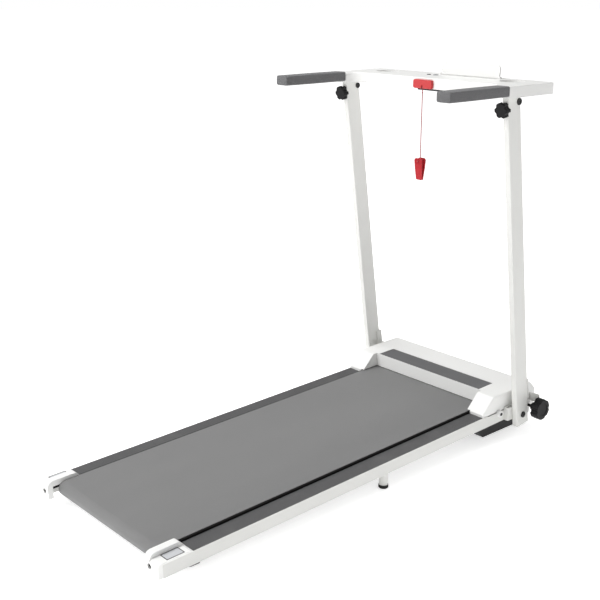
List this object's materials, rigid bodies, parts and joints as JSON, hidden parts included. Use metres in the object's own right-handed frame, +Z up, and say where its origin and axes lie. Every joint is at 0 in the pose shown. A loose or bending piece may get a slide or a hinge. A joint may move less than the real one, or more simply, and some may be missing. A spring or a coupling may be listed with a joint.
{
  "type": "folding treadmill",
  "caption": "Slim folding treadmill with a narrow running belt, two leaning uprights, a shallow console with cup wells, foam grips and a red safety key.",
  "frame": {"origin": "bottom centre of the bounding box, on the floor", "axes": "+Z up, +Y from the rear of the deck to the console, +X to the runner's right"},
  "size_m": [0.67, 1.3088, 1.027],
  "materials": {
    "white_steel": "satin",
    "white_plastic": "satin",
    "black_plastic": "matte",
    "dark_steel": "satin",
    "belt_fabric": "matte",
    "strip_plastic": "matte",
    "grip_foam": "matte",
    "bright_steel": "brushed",
    "zinc_steel": "satin",
    "rubber_black": "matte",
    "board_wood": "satin",
    "key_red": "satin",
    "clip_red": "satin",
    "cord_red": "matte",
    "insert_grey": "satin",
    "motor_grey": "satin",
    "knob_black": "satin",
    "button_grey": "satin",
    "aluminium_fin": "satin"
  },
  "bodies": {
    "deck": {"rail_right": "white_steel", "rail_left": "white_steel", "side_strip_right": "strip_plastic", "side_strip_left": "strip_plastic", "cross_members": "dark_steel", "deck_cushions": "rubber_black", "deck_board": "board_wood", "running_belt": "belt_fabric", "roller_bearings": "zinc_steel", "rear_axle": "zinc_steel", "front_axle": "zinc_steel", "tension_bolts": "dark_steel", "rear_cap_right": "white_plastic", "rear_cap_left": "white_plastic", "cap_panels": "black_plastic", "mid_legs": "white_steel", "rubber_feet": "rubber_black", "motor_hood": "white_plastic", "hood_insert": "insert_grey", "belly_pan": "black_plastic", "motor_body": "motor_grey", "motor_mount": "dark_steel", "drive_belt": "rubber_black", "controller_box": "aluminium_fin", "power_inlet": "black_plastic", "switch_pin": "zinc_steel", "hinge_bracket_right": "white_steel", "hinge_bracket_left": "white_steel", "mast_pivot_bolts": "dark_steel", "frame_screws": "dark_steel"},
    "rear_roller": {"rear_roller": "bright_steel"},
    "front_roller": {"front_roller": "bright_steel", "roller_pulley": "bright_steel"},
    "motor_shaft": {"motor_shaft": "bright_steel"},
    "rocker": {"power_switch": "black_plastic"},
    "lock_knob_right": {"lock_knob_right": "knob_black"},
    "lock_knob_left": {"lock_knob_left": "knob_black"},
    "mast": {"upright_right": "white_steel", "upright_left": "white_steel", "console_pivot_bolts": "dark_steel"},
    "star_knob_right": {"star_knob_right": "knob_black"},
    "star_knob_left": {"star_knob_left": "knob_black"},
    "console": {"console_top": "white_plastic", "console_base": "white_plastic", "console_tongues": "zinc_steel", "handle_tubes": "zinc_steel", "grip_right": "grip_foam", "grip_left": "grip_foam", "control_box": "black_plastic", "key_dock": "zinc_steel", "rest_pin": "bright_steel"},
    "tablet_rest": {"tablet_rest": "white_plastic"},
    "power_button": {"power_button": "black_plastic"},
    "mode_button": {"mode_button": "button_grey"},
    "safety_key": {"safety_key": "key_red"},
    "lanyard": {"lanyard_cord": "cord_red", "lanyard_knots": "cord_red", "clip_front_jaw": "clip_red"},
    "clip_jaw": {"clip_back_jaw": "clip_red"}
  },
  "joints": [
    {"name": "mast_fold", "type": "hinge", "parent": "deck", "child": "mast", "pos_m": [0, 0.55332, 0.07178], "axis": [1, 0, 0], "range_deg": [0, 80]},
    {"name": "console_fold", "type": "hinge", "parent": "mast", "child": "console", "pos_m": [0, 0.44847, 0.95], "axis": [1, 0, 0], "range_deg": [-80, 0]},
    {"name": "safety_key_pull", "type": "slide", "parent": "console", "child": "safety_key", "axis": [0, -1, 0], "range_m": [0, 0.03]},
    {"name": "lanyard_swing", "type": "hinge", "parent": "safety_key", "child": "lanyard", "pos_m": [0, 0.41867, 0.966], "axis": [1, 0, 0], "range_deg": [-80, 0]},
    {"name": "clip_pinch", "type": "hinge", "parent": "lanyard", "child": "clip_jaw", "pos_m": [0, 0.41867, 0.745], "axis": [1, 0, 0], "range_deg": [0, 8], "stiffness_Nm_per_rad": 0.02},
    {"name": "front_roller_spin", "type": "hinge", "parent": "deck", "child": "front_roller", "pos_m": [0, 0.4945, 0.07595], "axis": [1, 0, 0], "continuous": true},
    {"name": "rear_roller_spin", "type": "hinge", "parent": "deck", "child": "rear_roller", "pos_m": [0, -0.60709, 0.04594], "axis": [1, 0, 0], "continuous": true},
    {"name": "motor_spin", "type": "hinge", "parent": "deck", "child": "motor_shaft", "pos_m": [0, 0.58312, 0.09136], "axis": [1, 0, 0], "continuous": true},
    {"name": "power_rocker", "type": "hinge", "parent": "deck", "child": "rocker", "pos_m": [0.184, 0.64653, 0.07709], "axis": [1, 0, 0], "range_deg": [0, 6]},
    {"name": "lock_knob_right_turn", "type": "hinge", "parent": "deck", "child": "lock_knob_right", "pos_m": [0.312, 0.59647, 0.085], "axis": [1, 0, 0], "continuous": true},
    {"name": "lock_knob_left_turn", "type": "hinge", "parent": "deck", "child": "lock_knob_left", "pos_m": [-0.312, 0.59647, 0.085], "axis": [1, 0, 0], "continuous": true},
    {"name": "star_knob_right_turn", "type": "hinge", "parent": "mast", "child": "star_knob_right", "pos_m": [0.288, 0.40706, 0.9329], "axis": [0, -0.9903, -0.1392], "continuous": true},
    {"name": "star_knob_left_turn", "type": "hinge", "parent": "mast", "child": "star_knob_left", "pos_m": [-0.288, 0.40706, 0.9329], "axis": [0, -0.9903, -0.1392], "continuous": true},
    {"name": "tablet_rest_fold", "type": "hinge", "parent": "console", "child": "tablet_rest", "pos_m": [0.062, 0.53847, 0.9941], "axis": [1, 0, 0], "range_deg": [-78, 0]},
    {"name": "power_button_press", "type": "slide", "parent": "console", "child": "power_button", "axis": [0, 0, -1], "range_m": [0, 0.0012], "stiffness_N_per_m": 300},
    {"name": "mode_button_press", "type": "slide", "parent": "console", "child": "mode_button", "axis": [0, 0, -1], "range_m": [0, 0.0012], "stiffness_N_per_m": 300}
  ],
  "couplings": [
    {"joint": "console_fold", "follows": "mast_fold", "ratio": -1},
    {"joint": "lanyard_swing", "follows": "mast_fold", "ratio": -1},
    {"joint": "rear_roller_spin", "follows": "front_roller_spin", "ratio": 1},
    {"joint": "motor_spin", "follows": "front_roller_spin", "ratio": 2.4}
  ]
}
